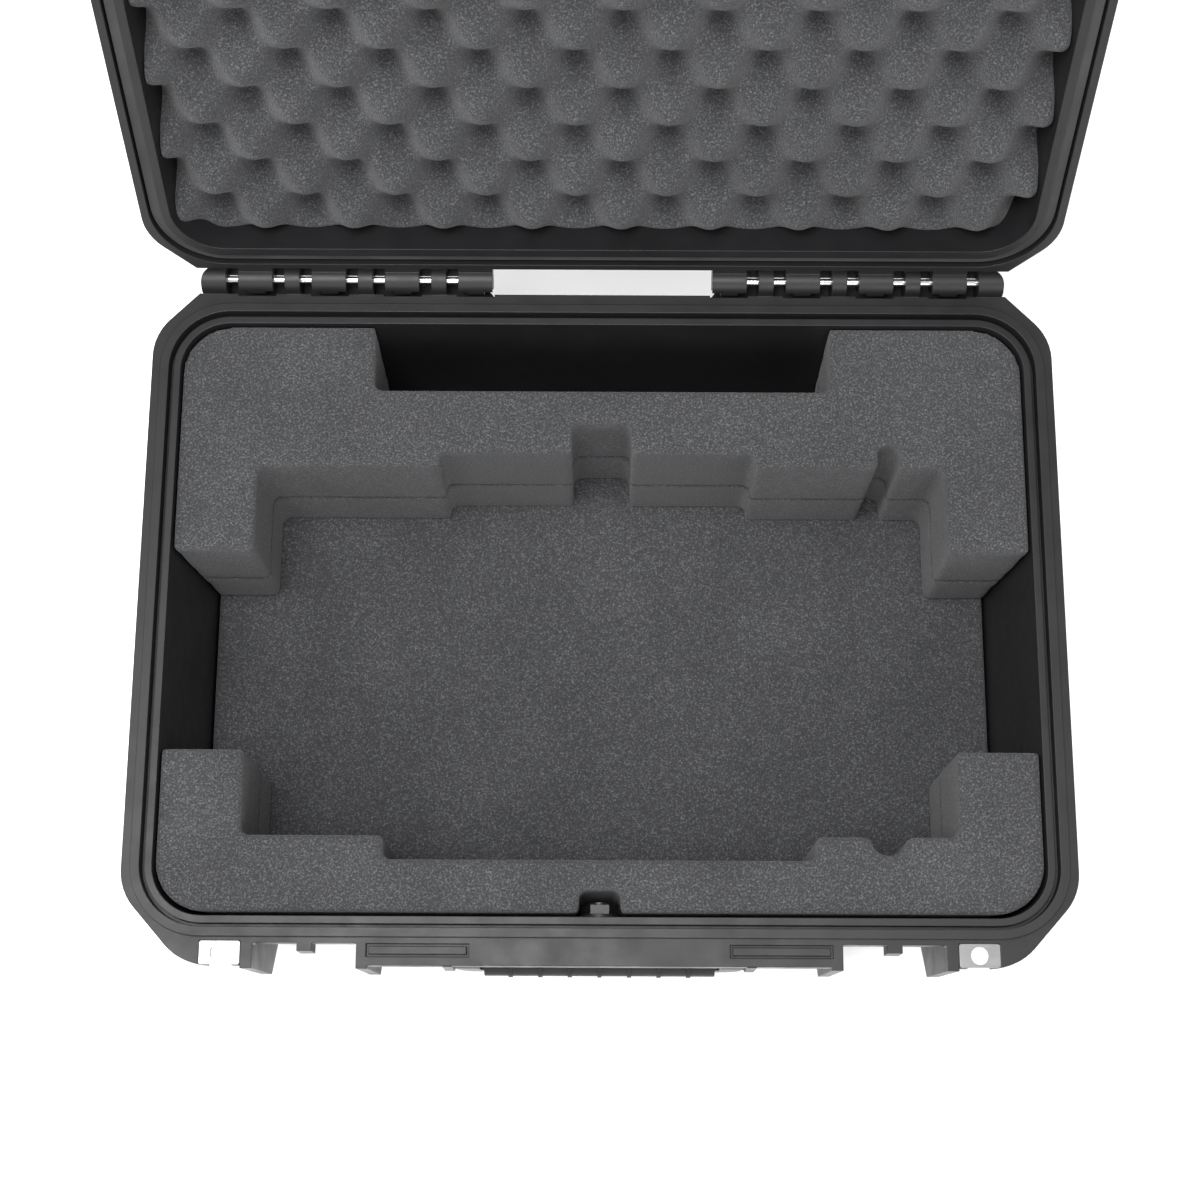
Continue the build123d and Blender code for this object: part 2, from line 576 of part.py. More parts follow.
def build_lid_shell():
    """The lid: drafted walls, mating flange with its seal slot, arms, ears and top ribs."""
    top = LID_TOP_Z + FOOT_H
    with BuildPart() as lid_shell:
        with BuildSketch(LID.offset(LID_Z)):
            RectangleRounded(OPEN_W + 2 * WALL, OPEN_D + 2 * WALL, OPEN_R + WALL)
        extrude(amount=LID_TOP_Z - LID_Z, taper=DRAFT)
        outer = lid_shell.faces().sort_by(Axis(LID.origin, LID.z_dir))[-1]
        fillet(outer.edges(), radius=FLOOR_R)
        with BuildSketch(LID.offset(top)):
            with GridLocations(OPEN_W - 2 * FOOT_INSET - FOOT_W, OPEN_D - 2 * FOOT_INSET - FOOT_D, 2, 2):
                RectangleRounded(FOOT_W, FOOT_D, FOOT_D / 4)
        extrude(amount=-FOOT_H - 1)
        with BuildSketch(LID.offset(LID_TOP_Z + TOP_RIB_H)):
            with GridLocations(0, TOP_RIB_PITCH, 1, TOP_RIBS):
                RectangleRounded(OPEN_W - 2 * TOP_RIB_INSET, TOP_RIB_W, TOP_RIB_W / 3)
        extrude(amount=-TOP_RIB_H - 1)
        extrude(flange_sketch(LID.offset(LID_Z), OPEN_D / 2 + LID_BACK_OUT), amount=FLANGE_T)
        for i in range(BACK_RIBS):
            rib_plane = side_plane(LID, (i - (BACK_RIBS - 1) / 2) * BACK_RIB_PITCH)
            edge = OPEN_D / 2 + LID_BACK_OUT - RIB_STEP_IN
            rib = rib_sketch(rib_plane, OPEN_D / 2, edge)
            extrude(rib, amount=RIB_T / 2, both=True)
        for _, sign in SIDES:
            for x in lid_knuckle_places(sign):
                extrude(lid_arm_sketch(side_plane(LID, x), BARREL_R), amount=LID_KNUCKLE_W / 2, both=True)
            for i in range(SIDE_RIBS):
                rib_plane = front_plane(LID, (i - (SIDE_RIBS - 1) / 2) * SIDE_RIB_PITCH)
                edge = sign * (SIDE_X - RIB_STEP_IN)
                rib = rib_sketch(rib_plane, sign * OPEN_W / 2, edge)
                extrude(rib, amount=RIB_T / 2, both=True)
            for x in (LATCH_X - (RECESS_W + EAR_T) / 2, LATCH_X + (RECESS_W + EAR_T) / 2):
                with BuildSketch(side_plane(LID, sign * x)):
                    with BuildLine():
                        FilletPolyline(
                            (-OPEN_D / 2, LID_Z),
                            (FRONT_Y, LID_Z),
                            (LATCH_PIN_Y - LATCH_HUB_R, LATCH_PIN_Z),
                            (LATCH_PIN_Y - LATCH_HUB_R, LID_Z + LID_EAR_RISE),
                            (-OPEN_D / 2, LID_Z + LID_EAR_RISE + LID_EAR_SLOPE),
                            radius=[0, 0, LID_EAR_R / 2, LID_EAR_R, 0],
                            close=True,
                        )
                    make_face()
                extrude(amount=EAR_T / 2, both=True)
        with BuildSketch(LID.offset(LID_Z)):
            RectangleRounded(OPEN_W, OPEN_D, OPEN_R)
        extrude(amount=LID_DEPTH, taper=DRAFT, mode=Mode.SUBTRACT)
        slot = ring_sketch(LID.offset(LID_Z), SEAL_SLOT_IN, SEAL_SLOT_OUT)
        extrude(slot, amount=SEAL_SLOT_DEPTH, mode=Mode.SUBTRACT)
        for _, sign in SIDES:
            for x in lid_knuckle_places(sign):
                for strip in (-1, 1):
                    strip_w = (LID_KNUCKLE_W - WEB_W) / 2
                    strip_x = x + strip * (WEB_W + strip_w) / 2
                    core = core_sketch(side_plane(LID, strip_x))
                    extrude(core, amount=strip_w / 2, both=True, mode=Mode.SUBTRACT)
            pin_mid = sign * (HINGE_PIN_OUT + HINGE_PIN_IN) / 2
            with BuildSketch(side_plane(LID, pin_mid)):
                with Locations((PIN_Y, PIN_Z)):
                    Circle(PIN_R + PIN_FIT)
            extrude(amount=(HINGE_PIN_OUT - HINGE_PIN_IN) / 2, both=True, mode=Mode.SUBTRACT)
            with BuildSketch(side_plane(LID, sign * LATCH_X)):
                with Locations((LATCH_PIN_Y, LATCH_PIN_Z)):
                    Circle(LATCH_PIN_R + PIN_FIT)
            extrude(amount=LATCH_PIN_L / 2, both=True, mode=Mode.SUBTRACT)
            seat, slot = lock_seat_sketches(LID.offset(LID_Z + FLANGE_T), sign)
            extrude(seat, amount=-LOCK_PLATE_T, mode=Mode.SUBTRACT)
            extrude(slot, amount=-FLANGE_T, mode=Mode.SUBTRACT)
    return lid_shell.part


def core_sketch(plane):
    """The hollow moulded into a lid knuckle's free side, seen from the side."""
    far = BARREL_R + 3
    low = math.radians(-80)
    high = math.radians(8)
    with BuildSketch(plane) as core:
        with BuildLine():
            Polyline(
                (PIN_Y, PIN_Z),
                (PIN_Y + far * math.cos(low), PIN_Z + far * math.sin(low)),
                (PIN_Y + far, PIN_Z - far),
                (PIN_Y + far * math.cos(high), PIN_Z + far * math.sin(high)),
                close=True,
            )
        make_face()
        with Locations((PIN_Y, PIN_Z)):
            Circle(HUB_R, mode=Mode.SUBTRACT)
    return core.sketch


def build_gasket():
    """The seal that lies in the lid's slot, one sealing tongue's height below the rim."""
    floor_z = LID_Z + SEAL_SLOT_DEPTH
    height = SEAL_SLOT_DEPTH - TONGUE_H - SEAL_CLEAR
    band = ring_sketch(LID.offset(floor_z), SEAL_SLOT_IN + SEAL_SIDE_GAP, SEAL_SLOT_OUT - SEAL_SIDE_GAP)
    with BuildPart() as gasket:
        extrude(band, amount=-height)
    return gasket.part


def build_pin(plane, x, y, z, radius, length):
    """A round pin along X with chamfered ends."""
    with BuildPart() as pin:
        with BuildSketch(side_plane(plane, x)):
            with Locations((y, z)):
                Circle(radius)
        extrude(amount=length / 2, both=True)
        chamfer(pin.edges().filter_by(GeomType.CIRCLE), length=radius / 5)
    return pin.part


def build_lock_plate(plane, sign, top_z):
    """A stainless plate with the padlock's hole."""
    with BuildPart() as plate:
        with BuildSketch(plane.offset(top_z)):
            with Locations((sign * LOCK_X, LOCK_Y)):
                RectangleRounded(LOCK_PLATE_W, LOCK_PLATE_D, LOCK_PLATE_R)
                Circle(LOCK_HOLE_R, mode=Mode.SUBTRACT)
        extrude(amount=-LOCK_PLATE_T)
    return plate.part


def build_latch_body(sign):
    """The latch's lever: a hub on the lid's ears, a bridge and two cheeks that hold the trigger."""
    x = sign * LATCH_X
    half = RECESS_W / 2 - LATCH_SIDE_GAP
    face_y = LATCH_PIN_Y - LATCH_HUB_R - LATCH_FACE_OUT
    back_y = RECESS_Y - LATCH_BACK_GAP
    bridge_z = TRIGGER_PIN_Z + BRIDGE_GAP
    with BuildPart() as body:
        with BuildSketch(side_plane(LATCH, x)):
            with BuildLine():
                FilletPolyline(
                    (face_y + LATCH_T, bridge_z),
                    (face_y, bridge_z),
                    (face_y, LATCH_PIN_Z + LATCH_HUB_R),
                    (LATCH_PIN_Y, LATCH_PIN_Z + LATCH_HUB_R),
                    (LATCH_PIN_Y, LATCH_PIN_Z - LATCH_HUB_R),
                    (face_y + LATCH_T, LATCH_PIN_Z - LATCH_HUB_R),
                    radius=[0, 0, LATCH_TOP_R, 0, 0, 2],
                    close=True,
                )
            make_face()
            with Locations((LATCH_PIN_Y, LATCH_PIN_Z)):
                Circle(LATCH_HUB_R)
        extrude(amount=half, both=True)
        with BuildSketch(front_plane(LATCH, face_y)):
            with Locations((x, (bridge_z + LATCH_PIN_Z) / 2)):
                RectangleRounded(2 * (half - LATCH_PANEL_EDGE), LATCH_PANEL_H, LATCH_PANEL_H / 4)
        extrude(amount=-LATCH_PANEL_DEPTH, mode=Mode.SUBTRACT)
        for side in (-1, 1):
            with BuildSketch(side_plane(LATCH, x + side * (half - CHEEK_T / 2))):
                with BuildLine():
                    FilletPolyline(
                        (face_y, bridge_z + 2),
                        (face_y, RIM_Z - LATCH_DROP),
                        (face_y + LATCH_T, RIM_Z - LATCH_DROP),
                        (back_y, TRIGGER_PIN_Z - 10),
                        (back_y, TRIGGER_PIN_Z + 7),
                        (LATCH_PIN_Y, LATCH_PIN_Z - LATCH_HUB_R / 2),
                        (face_y + LATCH_T / 2, LATCH_PIN_Z - LATCH_HUB_R / 2),
                        radius=[0, 3, 3, 4, 3, 0, 0],
                        close=True,
                    )
                make_face()
            extrude(amount=CHEEK_T / 2, both=True)
        with BuildSketch(side_plane(LATCH, x)):
            with Locations((LATCH_PIN_Y, LATCH_PIN_Z)):
                Circle(LATCH_PIN_R + PIN_FIT)
            with Locations((LATCH_PIN_Y, TRIGGER_PIN_Z)):
                Circle(TRIGGER_PIN_R + PIN_FIT)
        extrude(amount=half, both=True, mode=Mode.SUBTRACT)
    return body.part


def build_trigger(sign):
    """The trigger between the cheeks: finger tab, hub and the hook that grips the base's lip."""
    x = sign * LATCH_X
    half = RECESS_W / 2 - LATCH_SIDE_GAP - CHEEK_T - TRIGGER_GAP
    face_y = LATCH_PIN_Y - LATCH_HUB_R - TRIGGER_FACE_OUT
    arm_y = RECESS_Y - LATCH_BACK_GAP
    hook_z = RIM_Z - FLANGE_T - RIM_GAP
    hook_y = RECESS_Y + HOOK_GRIP
    with BuildPart() as trigger:
        with BuildSketch(side_plane(LATCH, x)):
            with BuildLine():
                FilletPolyline(
                    (face_y, TRIGGER_PIN_Z + TRIGGER_TOP),
                    (face_y, RIM_Z - TRIGGER_DROP),
                    (face_y + TRIGGER_T, RIM_Z - TRIGGER_DROP),
                    (face_y + TRIGGER_T, hook_z - HOOK_T - 3),
                    (hook_y - 4, hook_z - HOOK_T - 1.5),
                    (hook_y, hook_z - HOOK_T / 2),
                    (hook_y, hook_z),
                    (arm_y, hook_z),
                    (arm_y, TRIGGER_PIN_Z),
                    (LATCH_PIN_Y, TRIGGER_PIN_Z),
                    (LATCH_PIN_Y, TRIGGER_PIN_Z + TRIGGER_TOP),
                    radius=[2, 2, 2, 3, 2, 0, 0, 0.8, 0, 0, 0],
                    close=True,
                )
            make_face()
            with Locations((LATCH_PIN_Y, TRIGGER_PIN_Z)):
                Circle(TRIGGER_HUB_R)
                Circle(TRIGGER_PIN_R + PIN_FIT, mode=Mode.SUBTRACT)
        extrude(amount=half, both=True)
        with BuildSketch(side_plane(LATCH, x)):
            for i in range(GRIP_BEADS):
                with Locations((face_y, RIM_Z - TRIGGER_DROP + (i + 1.5) * GRIP_BEAD_PITCH)):
                    Circle(GRIP_BEAD_R)
        extrude(amount=half - GRIP_BEAD_PITCH, both=True)
        # Room for the small guide tab in the recess
        room_y = RECESS_Y - TAB_OUT - TAB_GAP
        with BuildSketch(side_plane(LATCH, x)):
            with Locations((room_y + TRIGGER_SLOT_D / 2, TRIGGER_PIN_Z - TRIGGER_SLOT_DROP)):
                Rectangle(TRIGGER_SLOT_D, TRIGGER_SLOT_H)
        extrude(amount=TAB_W / 2 + TAB_GAP, both=True, mode=Mode.SUBTRACT)
    return trigger.part


def build_handle_core():
    """The handle's hard frame: two arms with pin bosses and the bar under the grip."""
    bar_z = HANDLE_PIN_Z - HANDLE_REACH
    low_z = bar_z - BAR_H / 2
    inner = HANDLE_HALF_W - HANDLE_ARM_W
    with BuildPart() as core:
        with BuildSketch(front_plane(BASE, HANDLE_PIN_Y)):
            with BuildLine():
                FilletPolyline(
                    (-HANDLE_HALF_W, HANDLE_PIN_Z),
                    (-HANDLE_HALF_W, low_z),
                    (HANDLE_HALF_W, low_z),
                    (HANDLE_HALF_W, HANDLE_PIN_Z),
                    (inner, HANDLE_PIN_Z),
                    (inner, bar_z + BAR_H / 2),
                    (-inner, bar_z + BAR_H / 2),
                    (-inner, HANDLE_PIN_Z),
                    radius=[0, HANDLE_CORNER_R, HANDLE_CORNER_R, 0, 0, 1, 1, 0],
                    close=True,
                )
            make_face()
        extrude(amount=HANDLE_T / 2, both=True)
        for _, sign in SIDES:
            with BuildSketch(side_plane(BASE, sign * (inner + HANDLE_ARM_W / 2))):
                with Locations((HANDLE_PIN_Y, HANDLE_PIN_Z)):
                    Circle(HANDLE_BOSS_R)
            extrude(amount=HANDLE_ARM_W / 2, both=True)
            with BuildSketch(side_plane(BASE, sign * (inner + HANDLE_ARM_W / 2))):
                with Locations((HANDLE_PIN_Y, HANDLE_PIN_Z)):
                    Circle(HANDLE_PIN_R + PIN_FIT)
            extrude(amount=HANDLE_ARM_W / 2, both=True, mode=Mode.SUBTRACT)
    return core.part


def build_handle_grip():
    """The rubber sleeve on the handle's bar, with raised ribs round it."""
    bar_z = HANDLE_PIN_Z - HANDLE_REACH
    with BuildPart() as grip:
        with BuildSketch(side_plane(BASE, 0)):
            with Locations((HANDLE_PIN_Y, bar_z)):
                RectangleRounded(GRIP_T, GRIP_H, GRIP_R)
        extrude(amount=GRIP_HALF_W, both=True)
        for i in range(GRIP_RIBS):
            with BuildSketch(side_plane(BASE, (i - (GRIP_RIBS - 1) / 2) * GRIP_RIB_PITCH)):
                with Locations((HANDLE_PIN_Y, bar_z)):
                    RectangleRounded(GRIP_T + 2 * GRIP_RIB_H, GRIP_H + 2 * GRIP_RIB_H, GRIP_R + GRIP_RIB_H)
            extrude(amount=GRIP_RIB_W / 2, both=True)
        with BuildSketch(side_plane(BASE, 0)):
            with Locations((HANDLE_PIN_Y, bar_z)):
                Rectangle(HANDLE_T + 2 * GRIP_SLEEVE_GAP, BAR_H + 2 * GRIP_SLEEVE_GAP)
        extrude(amount=GRIP_HALF_W, both=True, mode=Mode.SUBTRACT)
    return grip.part


def build_valve_body():
    """The pressure valve's vented cap and the stem that passes through the wall."""
    seal_face = VALVE_SEAT_OUT - VALVE_SEAL_T
    with BuildPart() as valve:
        with BuildSketch(front_plane(BASE, seal_face)):
            with Locations((0, VALVE_Z)):
                Circle(VALVE_CAP_R)
        extrude(amount=VALVE_CAP_T)
        chamfer(valve.faces().sort_by(Axis.Y)[0].edges(), length=VALVE_CHAMFER)
        with BuildSketch(front_plane(BASE, seal_face)):
            with Locations((0, VALVE_Z)):
                Circle(VALVE_STEM_R)
        extrude(amount=-(VALVE_STEM_END - seal_face))
        with BuildSketch(front_plane(BASE, VALVE_STEM_END)):
            with Locations((0, VALVE_Z)):
                Circle(VALVE_VENT_R)
        extrude(amount=VALVE_STEM_END - seal_face, mode=Mode.SUBTRACT)
    return valve.part


def build_valve_seal():
    """The flat ring between the valve's cap and the case's front wall."""
    with BuildPart() as seal:
        with BuildSketch(front_plane(BASE, VALVE_SEAT_OUT)):
            with Locations((0, VALVE_Z)):
                Circle(VALVE_CAP_R - VALVE_SEAT_RIM)
                Circle(VALVE_STEM_R + VALVE_FIT, mode=Mode.SUBTRACT)
        extrude(amount=VALVE_SEAL_T)
    return seal.part


def build_valve_nut():
    """The hexagonal nut that draws the valve's stem against the inner face of the wall."""
    with BuildPart() as nut:
        with BuildSketch(front_plane(BASE, VALVE_SEAT_IN)):
            with Locations((0, VALVE_Z)):
                RegularPolygon(VALVE_NUT_R, 6)
                Circle(VALVE_STEM_R + VALVE_FIT, mode=Mode.SUBTRACT)
        extrude(amount=-VALVE_NUT_T)
    return nut.part


def build_valve_vent():
    """The vent disc that lies in the stem's bore."""
    with BuildPart() as vent:
        with BuildSketch(front_plane(BASE, VALVE_SEAT_OUT)):
            with Locations((0, VALVE_Z)):
                Circle(VALVE_VENT_R - VALVE_FIT)
        extrude(amount=-VALVE_VENT_T)
    return vent.part


def foam_cuts(plane):
    """The cut-outs in the base foam, seen from above, each by its left, right, front and back."""
    far = OPEN_W
    boxes = [
        (-DEVICE_HALF_W, DEVICE_HALF_W, DEVICE_FRONT, DEVICE_BACK),
        (-far, far, POCKET_FRONT, POCKET_BACK),
        (REAR_SLOT_L, REAR_SLOT_R, 0, REAR_SLOT_BACK),
        (-REAR_NOTCH_HALF_W, REAR_NOTCH_HALF_W, 0, REAR_NOTCH_BACK),
        (SIDE_NOTCH_L, SIDE_NOTCH_R, 0, SIDE_NOTCH_BACK),
        (-FRONT_SLOT_HALF_W, FRONT_SLOT_HALF_W, FRONT_SLOT_FRONT, 0),
        (-CORD_HALF_W, CORD_HALF_W, CORD_FRONT, far),
        (-VALVE_NOTCH_HALF_W, VALVE_NOTCH_HALF_W, -far, VALVE_NOTCH_BACK),
    ]
    with BuildSketch(plane) as cuts:
        for left, right, front, back in boxes:
            with Locations(((left + right) / 2, (front + back) / 2)):
                Rectangle(right - left, back - front)
        with Locations((THUMB_X, DEVICE_FRONT)):
            Circle(THUMB_R)
    return cuts.sketch


def foam_outline(drop):
    """The foam's outline at a depth below the rim, on a plane that looks down."""
    level = Plane(origin=(0, 0, RIM_Z - drop), x_dir=(1, 0, 0), z_dir=(0, 0, -1))
    width = OPEN_W - 2 * draft_in(drop) - 2 * FOAM_GAP
    depth = OPEN_D - 2 * draft_in(drop) - FOAM_GAP - FOAM_FRONT_GAP
    with BuildSketch(level) as outline:
        with Locations((0, -(FOAM_FRONT_GAP - FOAM_GAP) / 2)):
            RectangleRounded(width, depth, OPEN_R - draft_in(drop))
    return outline.sketch


def build_foam_layer(top_drop, bottom_drop):
    """One cut layer of the base foam."""
    with BuildPart() as layer:
        extrude(foam_outline(top_drop), amount=bottom_drop - top_drop, taper=DRAFT)
        cuts = foam_cuts(BASE.offset(RIM_Z - bottom_drop - 1))
        extrude(cuts, amount=bottom_drop - top_drop + 2, mode=Mode.SUBTRACT)
    return layer.part


def build_foam_pad():
    """The uncut pad under the layers, which is the floor of every pocket."""
    with BuildPart() as pad:
        extrude(foam_outline(FOAM_FLOOR), amount=BASE_DEPTH - FOAM_LIFT - FOAM_FLOOR, taper=DRAFT)
    return pad.part


def build_lid_foam():
    """The lid's convoluted foam: a sheet whose peaks are left by two sets of slanting channels."""
    tip_z = LID_Z + LID_DEPTH - FOAM_LIFT - CRATE_SHEET_T - CRATE_PEAK_H
    pitch = CRATE_PITCH / math.sqrt(2)
    count = math.ceil((OPEN_W + OPEN_D) / math.sqrt(2) / pitch)
    tip_w = pitch * (1 - CRATE_TOP_SHARE)
    floor_w = pitch * CRATE_FLOOR_SHARE
    inset = draft_in(tip_z - LID_Z) + FOAM_GAP
    with BuildPart() as foam:
        with BuildSketch(LID.offset(tip_z)):
            RectangleRounded(OPEN_W - 2 * inset, OPEN_D - 2 * inset, OPEN_R - inset)
        extrude(amount=CRATE_SHEET_T + CRATE_PEAK_H, taper=DRAFT)
        for turn in (45, 135):
            a = math.radians(turn)
            across = LID.x_dir * math.cos(a) + LID.y_dir * math.sin(a)
            along = LID.y_dir * math.cos(a) - LID.x_dir * math.sin(a)
            section = Plane(origin=LID.origin, x_dir=across, z_dir=-along)
            phase = CRATE_X * math.cos(a) + CRATE_Y * math.sin(a)
            with BuildSketch(section):
                for i in range(-count, count):
                    mid = phase + (i + 0.5) * pitch
                    if abs(mid) > count / 2 * pitch:
                        continue
                    with BuildLine():
                        Polyline(
                            (mid - tip_w / 2, tip_z),
                            (mid + tip_w / 2, tip_z),
                            (mid + floor_w / 2, tip_z + CRATE_PEAK_H),
                            (mid - floor_w / 2, tip_z + CRATE_PEAK_H),
                            close=True,
                        )
                    make_face()
            extrude(amount=OPEN_W, both=True, mode=Mode.SUBTRACT)
    return foam.part


def save(part, label):
    """Label a finished piece and write it."""
    part.label = label
    export_step(part, f"parts/{label}.step")


os.makedirs("parts", exist_ok=True)
save(build_base_shell(), "base_shell")
save(build_lid_shell(), "lid_shell")
save(build_gasket(), "lid_gasket")
save(build_foam_layer(FOAM_TOP, FOAM_SEAM), "foam_top_layer")
save(build_foam_layer(FOAM_SEAM, FOAM_FLOOR), "foam_middle_layer")
save(build_foam_pad(), "foam_bottom_pad")
save(build_lid_foam(), "lid_foam")
save(build_handle_core(), "handle_core")
save(build_handle_grip(), "handle_grip")
save(build_valve_body(), "valve_body")
save(build_valve_seal(), "valve_seal")
save(build_valve_nut(), "valve_nut")
save(build_valve_vent(), "valve_vent")
for name, sign in SIDES:
    hinge_mid = sign * (HINGE_PIN_OUT + HINGE_PIN_IN) / 2
    hinge_length = HINGE_PIN_OUT - HINGE_PIN_IN
    save(build_pin(BASE, hinge_mid, PIN_Y, PIN_Z, PIN_R, hinge_length), f"hinge_pin_{name}")
    latch_x = sign * LATCH_X
    save(build_latch_body(sign), f"latch_body_{name}")
    save(build_trigger(sign), f"latch_trigger_{name}")
    save(build_pin(LID, latch_x, LATCH_PIN_Y, LATCH_PIN_Z, LATCH_PIN_R, LATCH_PIN_L), f"latch_pin_{name}")
    trigger_pin = build_pin(LATCH, latch_x, LATCH_PIN_Y, TRIGGER_PIN_Z, TRIGGER_PIN_R, TRIGGER_PIN_L)
    save(trigger_pin, f"trigger_pin_{name}")
    handle_x = sign * HANDLE_PIN_MID
    handle_pin = build_pin(BASE, handle_x, HANDLE_PIN_Y, HANDLE_PIN_Z, HANDLE_PIN_R, HANDLE_PIN_L)
    save(handle_pin, f"handle_pin_{name}")
    save(build_lock_plate(BASE, sign, RIM_Z), f"base_lock_plate_{name}")
    save(build_lock_plate(LID, sign, LID_Z + FLANGE_T), f"lid_lock_plate_{name}")
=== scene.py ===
import json
import math

import bmesh
import bpy
import numpy as np
from mathutils import Matrix, Vector


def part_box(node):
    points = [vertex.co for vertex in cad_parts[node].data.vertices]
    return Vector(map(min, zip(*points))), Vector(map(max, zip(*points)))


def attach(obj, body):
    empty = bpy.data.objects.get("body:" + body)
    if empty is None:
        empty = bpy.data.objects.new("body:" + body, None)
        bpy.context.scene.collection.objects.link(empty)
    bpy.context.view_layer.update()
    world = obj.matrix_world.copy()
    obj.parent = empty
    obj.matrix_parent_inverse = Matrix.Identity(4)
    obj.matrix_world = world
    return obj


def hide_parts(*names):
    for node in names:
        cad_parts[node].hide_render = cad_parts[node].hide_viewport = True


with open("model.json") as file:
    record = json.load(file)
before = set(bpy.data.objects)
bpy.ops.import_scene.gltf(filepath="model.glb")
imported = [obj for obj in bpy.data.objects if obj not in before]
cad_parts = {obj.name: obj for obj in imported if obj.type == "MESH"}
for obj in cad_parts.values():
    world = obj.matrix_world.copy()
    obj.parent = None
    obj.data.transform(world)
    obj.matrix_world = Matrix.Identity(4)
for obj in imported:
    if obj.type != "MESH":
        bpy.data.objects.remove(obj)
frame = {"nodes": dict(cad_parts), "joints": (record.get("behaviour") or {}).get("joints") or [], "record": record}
NODES = frame["nodes"]
JOINTS = {joint["name"]: joint for joint in frame["joints"]}
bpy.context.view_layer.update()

# The rim's height and the hinge, read from the frame
FOAM_BELOW_RIM = 0.003
RIM_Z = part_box("foam_top_layer")[1].z + FOAM_BELOW_RIM
PIN = Vector(JOINTS["lid_hinge"]["pos_m"])
LID_OPEN = math.radians(JOINTS["lid_hinge"]["range_deg"][1])

# Carries a point of the closed lid to its place on the open lid
LID_PLACE = Matrix.Translation(PIN) @ Matrix.Rotation(-LID_OPEN, 4, "X") @ Matrix.Translation(-PIN)

# The photograph's camera: a long lens that looks down and a little from the front
CAMERA_TILT = math.radians(14.6)
CAMERA_ROLL = math.radians(0.26)
CAMERA_DISTANCE = 1.1297
CAMERA_TARGET = Vector((-0.0006, 0.0055, RIM_Z))
LENS = 62.6
SENSOR = 36.0

# Egg-crate foam in the lid: a peak stands at (CRATE_X, CRATE_Y) of the closed lid
CRATE_PITCH = 0.049
CRATE_X = 0.010
CRATE_Y = 0.150
CRATE_PEAK = 0.027
CRATE_FLATTEN = 0.85
CRATE_CORNER = 0.024
CRATE_EDGE_W = 0.004
CRATE_EDGE_DROP = 0.0016
CRATE_STEP = 0.0020

# The cut foam's grid, finer on the layer that shows most, and how often its edges are softened
TOP_VOXEL = 0.0021
MIDDLE_VOXEL = 0.0026
PAD_VOXEL = 0.0030
EDGE_ROUNDS = 2

# Studio
FLOOR_HALF = 6.0
SKY_STRENGTH = 0.50
STUDIO_MIDDLE = (0, 0, 0.1)
STUDIO_BACK = (0, 0.3, 0)
SOFT_BOXES = [
    ("top", (-0.35, -0.25, 2.5), STUDIO_MIDDLE, 1.1, 72),
    ("left", (-2.1, -0.2, 1.5), STUDIO_MIDDLE, 1.6, 34),
    ("right", (2.2, -0.5, 1.6), STUDIO_MIDDLE, 1.6, 26),
    ("front", (0.2, -2.3, 1.5), STUDIO_MIDDLE, 1.5, 38),
    ("back", (0.1, 2.4, 1.0), STUDIO_BACK, 1.3, 60),
]


def node(tree, kind, **settings):
    """A new shader node with its properties and inputs set by name."""
    made = tree.nodes.new(kind)
    for key, value in settings.items():
        if key in made.inputs:
            made.inputs[key].default_value = value
        else:
            setattr(made, key, value)
    return made


def new_material(name):
    """An empty material with a Principled shader and object coordinates."""
    material = bpy.data.materials.new(name)
    material.use_nodes = True
    tree = material.node_tree
    tree.nodes.clear()
    output = tree.nodes.new("ShaderNodeOutputMaterial")
    shader = tree.nodes.new("ShaderNodeBsdfPrincipled")
    tree.links.new(shader.outputs["BSDF"], output.inputs["Surface"])
    coordinates = tree.nodes.new("ShaderNodeTexCoord").outputs["Object"]
    return material, tree, shader, coordinates


def noise(tree, coordinates, scale, detail=4.0, roughness=0.55):
    """A noise texture's value at a number of features per metre."""
    texture = node(tree, "ShaderNodeTexNoise")
    texture.inputs["Scale"].default_value = scale
    texture.inputs["Detail"].default_value = detail
    texture.inputs["Roughness"].default_value = roughness
    tree.links.new(coordinates, texture.inputs["Vector"])
    return texture.outputs["Fac"]


def ramp(tree, value, stops):
    """A colour ramp over (place, grey or colour) stops."""
    made = node(tree, "ShaderNodeValToRGB")
    elements = made.color_ramp.elements
    while len(elements) < len(stops):
        elements.new(0.5)
    for element, (place, colour) in zip(elements, stops):
        element.position = place
        if isinstance(colour, (int, float)):
            colour = (colour, colour, colour)
        element.color = (*colour, 1.0)
    tree.links.new(value, made.inputs["Fac"])
    return made.outputs["Color"]


def bump(tree, height, strength, distance, normal=None):
    """A bump from a height, over another normal where one is given."""
    made = node(tree, "ShaderNodeBump")
    made.inputs["Strength"].default_value = strength
    made.inputs["Distance"].default_value = distance
    tree.links.new(height, made.inputs["Height"])
    if normal is not None:
        tree.links.new(normal, made.inputs["Normal"])
    return made.outputs["Normal"]


def soft_edges(tree, radius, samples=6):
    """The normal with every sharp edge rounded over a radius."""
    made = node(tree, "ShaderNodeBevel", samples=samples)
    made.inputs["Radius"].default_value = radius
    return made.outputs["Normal"]


def shades(colour, dark, light):
    """A darker and a lighter tone of one colour."""
    return tuple(c * dark for c in colour), tuple(c * light for c in colour)


